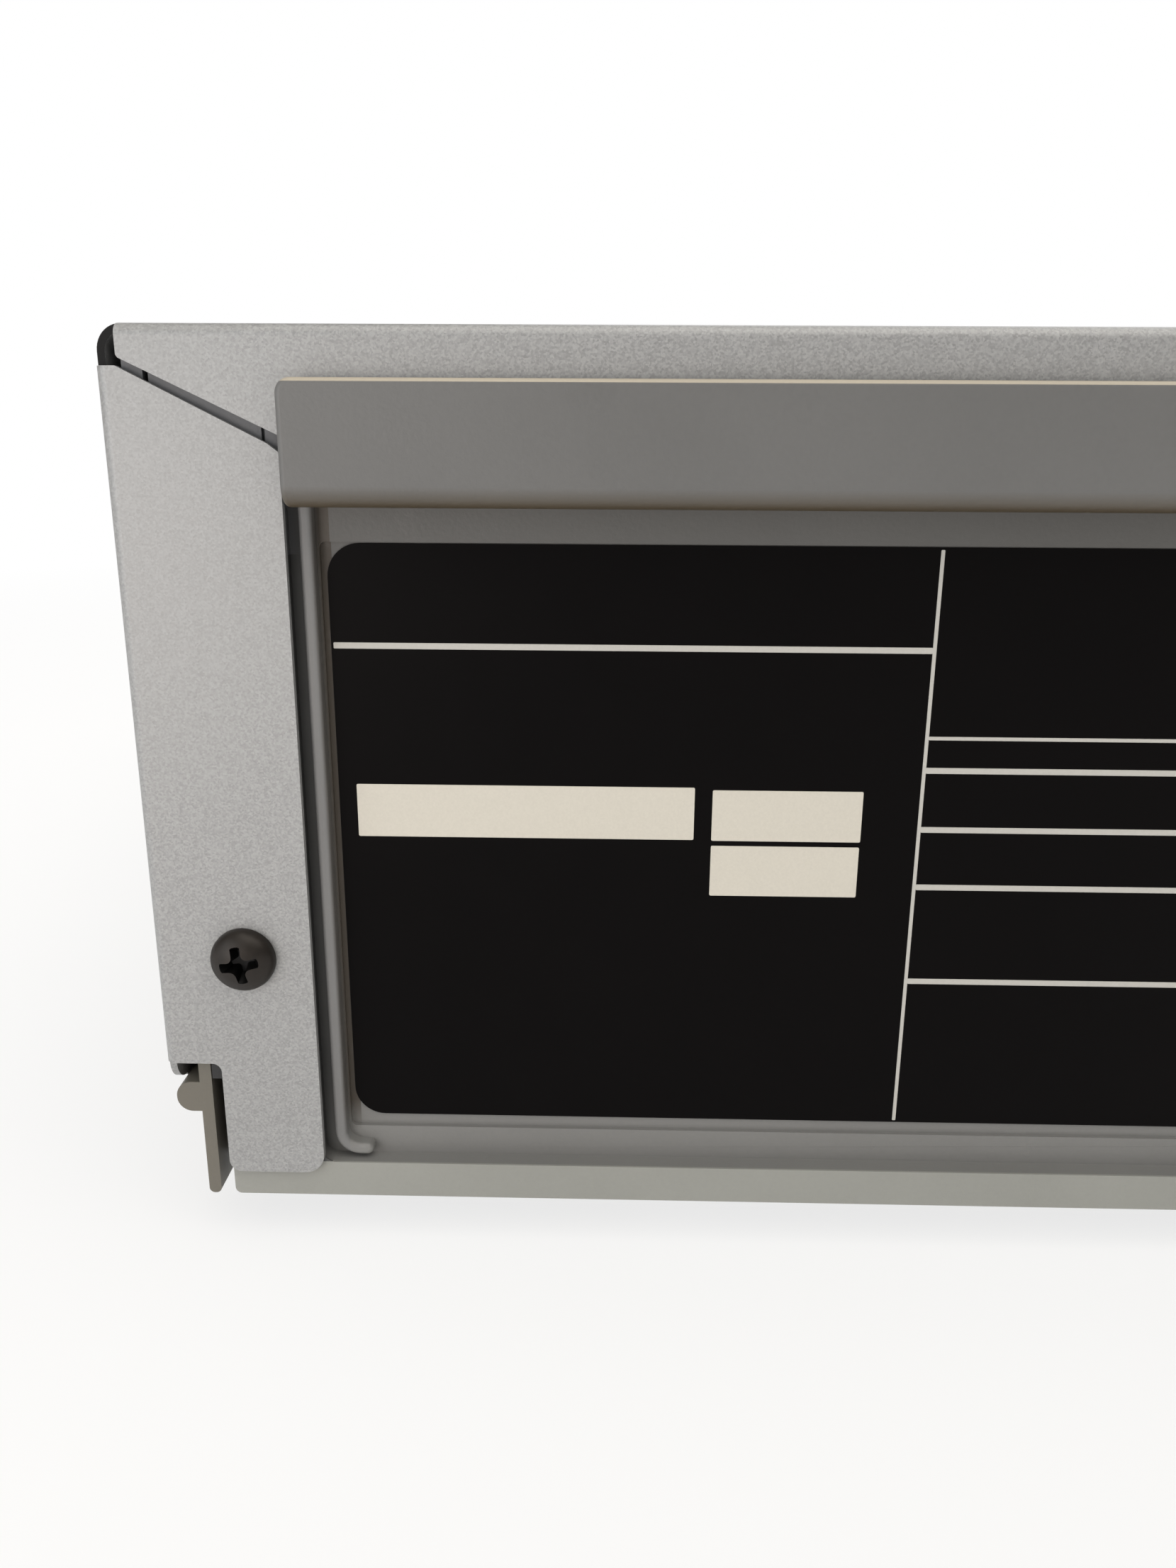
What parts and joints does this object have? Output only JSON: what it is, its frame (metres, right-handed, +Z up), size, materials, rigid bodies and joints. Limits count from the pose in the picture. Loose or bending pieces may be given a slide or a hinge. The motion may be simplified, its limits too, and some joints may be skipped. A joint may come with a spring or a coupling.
{
  "type": "vcr dvd combo player",
  "caption": "Slim video cassette and disc player with a folded silver cover, moulded rear panel with sockets, hinged cassette door, sliding disc tray and push buttons.",
  "frame": {"origin": "middle of the underside of the feet, under the middle of the box", "axes": "+X to the player's right seen from the front, +Y to its rear, +Z up"},
  "size_m": [0.4338, 0.258, 0.079],
  "materials": {
    "silver_paint": "fine metallic silver paint on folded sheet",
    "frame_plastic": "moulded grey plastic",
    "grey_plastic": "moulded grey plastic with a fine texture",
    "label_black": "thin black printed plate",
    "plain_steel": "plated sheet steel",
    "bright_steel": "turned and ground steel",
    "foot_rubber": "moulded rubber",
    "belt_rubber": "black rubber",
    "dark_screw": "dark plated screw",
    "black_plastic": "black moulded plastic",
    "dark_plastic": "dark moulded plastic",
    "white_plastic": "white acetal",
    "silver_plastic": "silver painted plastic",
    "button_plastic": "silver painted plastic buttons",
    "smoked_window": "smoked clear plastic",
    "display_glass": "dark display glass",
    "board": "paper laminate board",
    "drum_metal": "turned aluminium",
    "plated_collar": "plated collars"
  },
  "bodies": {
    "casing": {"top_cover": "silver_paint", "main_frame": "frame_plastic", "rear_panel": "grey_plastic", "rating_label": "label_black", "bottom_plate": "plain_steel", "feet": "foot_rubber", "cover_screws": "dark_screw", "cord_gland": "black_plastic", "front_panel": "silver_plastic", "display_window": "smoked_window", "display_tube": "display_glass", "front_board": "board", "front_jacks": "black_plastic", "loader_frame": "dark_plastic", "tray_belt": "belt_rubber", "tray_motor": "plain_steel", "clamp_bridge": "dark_plastic", "deck_plate": "plain_steel", "cassette_guides": "plain_steel", "lower_drum": "drum_metal", "capstan_motor": "plain_steel", "main_board": "board", "power_board": "board", "inner_screws": "dark_screw", "tuner": "bright_steel", "jack_blocks": "black_plastic", "jack_collars": "plated_collar"},
    "tray": {"tray_front": "silver_plastic", "disc_tray": "dark_plastic"},
    "tray_pinion": {"tray_pinion": "white_plastic"},
    "motor_pulley": {"motor_pulley": "white_plastic"},
    "traverse": {"traverse_plate": "dark_plastic", "drive_motors": "plain_steel", "guide_rods": "bright_steel"},
    "turntable": {"turntable": "dark_plastic"},
    "disc_clamp": {"disc_clamp": "white_plastic"},
    "pickup": {"pickup_sled": "dark_plastic"},
    "lead_screw": {"lead_screw": "bright_steel"},
    "cassette_door": {"cassette_door": "silver_plastic"},
    "cassette_holder": {"cassette_holder": "plain_steel", "cassette_stops": "plain_steel"},
    "head_drum": {"upper_drum": "drum_metal"},
    "capstan": {"capstan": "bright_steel"},
    "pinch_arm": {"pinch_arm": "plain_steel"},
    "pinch_roller": {"pinch_roller": "belt_rubber"},
    "supply_reel": {"supply_reel": "dark_plastic"},
    "take_up_reel": {"take_up_reel": "dark_plastic"},
    "supply_guide": {"supply_guide": "bright_steel"},
    "take_up_guide": {"take_up_guide": "bright_steel"},
    "power_button": {"power_button": "button_plastic"},
    "tape_eject_button": {"tape_eject_button": "button_plastic"},
    "source_button": {"source_button": "button_plastic"},
    "disc_open_button": {"disc_open_button": "button_plastic"},
    "rewind_button": {"rewind_button": "button_plastic"},
    "play_button": {"play_button": "button_plastic"},
    "forward_button": {"forward_button": "button_plastic"},
    "stop_button": {"stop_button": "button_plastic"},
    "record_button": {"record_button": "button_plastic"},
    "channel_up_button": {"channel_up_button": "button_plastic"},
    "channel_down_button": {"channel_down_button": "button_plastic"}
  },
  "joints": [
    {"name": "tray_slide", "type": "slide", "parent": "casing", "child": "tray", "axis": [0, -1, 0], "range_m": [0, 0.14]},
    {"name": "tray_pinion_turn", "type": "hinge", "parent": "casing", "child": "tray_pinion", "pos_m": [0.05675, -0.092, 0.049], "axis": [0, 0, 1], "range_deg": [-0.5, 1003.18]},
    {"name": "motor_pulley_turn", "type": "hinge", "parent": "casing", "child": "motor_pulley", "pos_m": [0.09475, -0.092, 0.043], "axis": [0, 0, 1], "range_deg": [-0.5, 2897.12]},
    {"name": "traverse_lift", "type": "hinge", "parent": "casing", "child": "traverse", "pos_m": [0.11, 0.05, 0.045], "axis": [-1, 0, 0], "range_deg": [0, 5.1]},
    {"name": "turntable_spin", "type": "hinge", "parent": "traverse", "child": "turntable", "pos_m": [0.11, -0.04979, 0.04945], "axis": [0, -0.0889, 0.996], "continuous": true},
    {"name": "disc_clamp_spin", "type": "hinge", "parent": "casing", "child": "disc_clamp", "pos_m": [0.11, -0.049, 0.064], "axis": [0, 0, 1], "continuous": true},
    {"name": "pickup_slide", "type": "slide", "parent": "traverse", "child": "pickup", "axis": [0, 0.996, 0.0889], "range_m": [0, 0.034]},
    {"name": "lead_screw_turn", "type": "hinge", "parent": "traverse", "child": "lead_screw", "pos_m": [0.15, -0.00903, 0.04274], "axis": [0, 0.996, 0.0889], "range_deg": [-0.5, 4080.5]},
    {"name": "cassette_door_swing", "type": "hinge", "parent": "casing", "child": "cassette_door", "pos_m": [-0.103, -0.1244, 0.0715], "axis": [1, 0, 0], "range_deg": [0, 97], "stiffness_Nm_per_rad": 0.02},
    {"name": "cassette_holder_load", "type": "slide", "parent": "casing", "child": "cassette_holder", "axis": [0, 0.963, -0.2696], "range_m": [0, 0.05192]},
    {"name": "head_drum_spin", "type": "hinge", "parent": "casing", "child": "head_drum", "pos_m": [-0.099, 0.056, 0.0452], "axis": [0, 0, 1], "continuous": true},
    {"name": "capstan_spin", "type": "hinge", "parent": "casing", "child": "capstan", "pos_m": [-0.041, 0.02, 0.0252], "axis": [0, 0, 1], "continuous": true},
    {"name": "pinch_arm_swing", "type": "hinge", "parent": "casing", "child": "pinch_arm", "pos_m": [-0.029, 0.046, 0.0302], "axis": [0, 0, 1], "range_deg": [-15, 0]},
    {"name": "pinch_roller_spin", "type": "hinge", "parent": "pinch_arm", "child": "pinch_roller", "pos_m": [-0.02633, 0.0198, 0.0372], "axis": [0, 0, 1], "continuous": true},
    {"name": "supply_reel_spin", "type": "hinge", "parent": "casing", "child": "supply_reel", "pos_m": [-0.149, -0.034, 0.0302], "axis": [0, 0, 1], "continuous": true},
    {"name": "take_up_reel_spin", "type": "hinge", "parent": "casing", "child": "take_up_reel", "pos_m": [-0.057, -0.034, 0.0302], "axis": [0, 0, 1], "continuous": true},
    {"name": "take_up_guide_load", "type": "hinge", "parent": "casing", "child": "take_up_guide", "pos_m": [-0.099, 0.056, 0.0302], "axis": [0, 0, 1], "range_deg": [0, 80]},
    {"name": "supply_guide_load", "type": "hinge", "parent": "casing", "child": "supply_guide", "pos_m": [-0.099, 0.056, 0.0302], "axis": [0, 0, 1], "range_deg": [-80.5, 0.5]},
    {"name": "power_press", "type": "slide", "parent": "casing", "child": "power_button", "axis": [0, 1, 0], "range_m": [0, 0.001], "stiffness_N_per_m": 300},
    {"name": "tape_eject_press", "type": "slide", "parent": "casing", "child": "tape_eject_button", "axis": [0, 1, 0], "range_m": [0, 0.001], "stiffness_N_per_m": 300},
    {"name": "source_press", "type": "slide", "parent": "casing", "child": "source_button", "axis": [0, 1, 0], "range_m": [0, 0.001], "stiffness_N_per_m": 300},
    {"name": "disc_open_press", "type": "slide", "parent": "casing", "child": "disc_open_button", "axis": [0, 1, 0], "range_m": [0, 0.001], "stiffness_N_per_m": 300},
    {"name": "rewind_press", "type": "slide", "parent": "casing", "child": "rewind_button", "axis": [0, 1, 0], "range_m": [0, 0.001], "stiffness_N_per_m": 300},
    {"name": "play_press", "type": "slide", "parent": "casing", "child": "play_button", "axis": [0, 1, 0], "range_m": [0, 0.001], "stiffness_N_per_m": 300},
    {"name": "forward_press", "type": "slide", "parent": "casing", "child": "forward_button", "axis": [0, 1, 0], "range_m": [0, 0.001], "stiffness_N_per_m": 300},
    {"name": "stop_press", "type": "slide", "parent": "casing", "child": "stop_button", "axis": [0, 1, 0], "range_m": [0, 0.001], "stiffness_N_per_m": 300},
    {"name": "record_press", "type": "slide", "parent": "casing", "child": "record_button", "axis": [0, 1, 0], "range_m": [0, 0.001], "stiffness_N_per_m": 300},
    {"name": "channel_up_press", "type": "slide", "parent": "casing", "child": "channel_up_button", "axis": [0, 1, 0], "range_m": [0, 0.001], "stiffness_N_per_m": 300},
    {"name": "channel_down_press", "type": "slide", "parent": "casing", "child": "channel_down_button", "axis": [0, 1, 0], "range_m": [0, 0.001], "stiffness_N_per_m": 300}
  ],
  "couplings": [
    {"joint": "tray_pinion_turn", "follows": "tray_slide", "rad_per_m": 125},
    {"joint": "motor_pulley_turn", "follows": "tray_slide", "rad_per_m": 361.11},
    {"joint": "lead_screw_turn", "follows": "pickup_slide", "rad_per_m": 2094.4},
    {"joint": "supply_guide_load", "follows": "take_up_guide_load", "ratio": -1}
  ]
}
